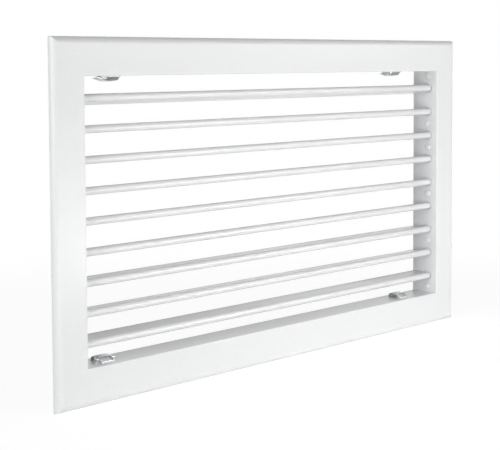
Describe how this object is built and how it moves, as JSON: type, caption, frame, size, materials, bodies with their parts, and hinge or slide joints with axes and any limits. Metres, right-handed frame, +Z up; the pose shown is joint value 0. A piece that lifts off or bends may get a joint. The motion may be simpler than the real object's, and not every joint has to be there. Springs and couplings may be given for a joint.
{
  "type": "single deflection wall grille",
  "caption": "Flanged wall grille: a mitred frame with a neck for a wall opening and horizontal aerofoil blades that tilt singly to aim the air up or down.",
  "frame": {"origin": "centre of the wall opening, in the plane of the wall that the flange seats on", "axes": "+Z up, the front looks to -Y, +Y runs into the wall, +X along the blades"},
  "size_m": [0.44, 0.0245, 0.24],
  "materials": {
    "frame_coat": "white powder coat on extruded aluminium, satin",
    "blade_coat": "white powder coat on extruded aluminium, satin",
    "bearing_nylon": "moulded white nylon",
    "clip_steel": "bare spring steel, slightly dull",
    "key_plate": "mill finish",
    "pin_metal": "turned, bright"
  },
  "bodies": {
    "frame": {"top_rail": "frame_coat", "bottom_rail": "frame_coat", "left_stile": "frame_coat", "right_stile": "frame_coat", "corner_key_top_left": "key_plate", "corner_key_bottom_left": "key_plate", "corner_key_top_right": "key_plate", "corner_key_bottom_right": "key_plate", "spring_clip_top_left": "clip_steel", "spring_clip_bottom_left": "clip_steel", "spring_clip_top_right": "clip_steel", "spring_clip_bottom_right": "clip_steel", "bearing_strip_left_upper": "bearing_nylon", "bearing_strip_left_lower": "bearing_nylon", "bearing_strip_right_upper": "bearing_nylon", "bearing_strip_right_lower": "bearing_nylon"},
    "blade_1": {"blade_1": "blade_coat", "pivot_pin_left_1": "pin_metal", "pivot_pin_right_1": "pin_metal"},
    "blade_2": {"blade_2": "blade_coat", "pivot_pin_left_2": "pin_metal", "pivot_pin_right_2": "pin_metal"},
    "blade_3": {"blade_3": "blade_coat", "pivot_pin_left_3": "pin_metal", "pivot_pin_right_3": "pin_metal"},
    "blade_4": {"blade_4": "blade_coat", "pivot_pin_left_4": "pin_metal", "pivot_pin_right_4": "pin_metal"},
    "blade_5": {"blade_5": "blade_coat", "pivot_pin_left_5": "pin_metal", "pivot_pin_right_5": "pin_metal"},
    "blade_6": {"blade_6": "blade_coat", "pivot_pin_left_6": "pin_metal", "pivot_pin_right_6": "pin_metal"},
    "blade_7": {"blade_7": "blade_coat", "pivot_pin_left_7": "pin_metal", "pivot_pin_right_7": "pin_metal"},
    "blade_8": {"blade_8": "blade_coat", "pivot_pin_left_8": "pin_metal", "pivot_pin_right_8": "pin_metal"},
    "blade_9": {"blade_9": "blade_coat", "pivot_pin_left_9": "pin_metal", "pivot_pin_right_9": "pin_metal"}
  },
  "joints": [
    {"name": "blade_1_tilt", "type": "hinge", "parent": "frame", "child": "blade_1", "pos_m": [0, 0.0045, 0.08], "axis": [1, 0, 0], "range_deg": [-27, 63]},
    {"name": "blade_2_tilt", "type": "hinge", "parent": "frame", "child": "blade_2", "pos_m": [0, 0.0045, 0.06], "axis": [1, 0, 0], "range_deg": [-36, 54]},
    {"name": "blade_3_tilt", "type": "hinge", "parent": "frame", "child": "blade_3", "pos_m": [0, 0.0045, 0.04], "axis": [1, 0, 0], "range_deg": [-35, 55]},
    {"name": "blade_4_tilt", "type": "hinge", "parent": "frame", "child": "blade_4", "pos_m": [0, 0.0045, 0.02], "axis": [1, 0, 0], "range_deg": [-44, 46]},
    {"name": "blade_5_tilt", "type": "hinge", "parent": "frame", "child": "blade_5", "pos_m": [0, 0.0045, 0], "axis": [1, 0, 0], "range_deg": [-37, 53]},
    {"name": "blade_6_tilt", "type": "hinge", "parent": "frame", "child": "blade_6", "pos_m": [0, 0.0045, -0.02], "axis": [1, 0, 0], "range_deg": [-44, 46]},
    {"name": "blade_7_tilt", "type": "hinge", "parent": "frame", "child": "blade_7", "pos_m": [0, 0.0045, -0.04], "axis": [1, 0, 0], "range_deg": [-49.5, 40.5]},
    {"name": "blade_8_tilt", "type": "hinge", "parent": "frame", "child": "blade_8", "pos_m": [0, 0.0045, -0.06], "axis": [1, 0, 0], "range_deg": [-46.5, 43.5]},
    {"name": "blade_9_tilt", "type": "hinge", "parent": "frame", "child": "blade_9", "pos_m": [0, 0.0045, -0.08], "axis": [1, 0, 0], "range_deg": [-55, 35]}
  ]
}
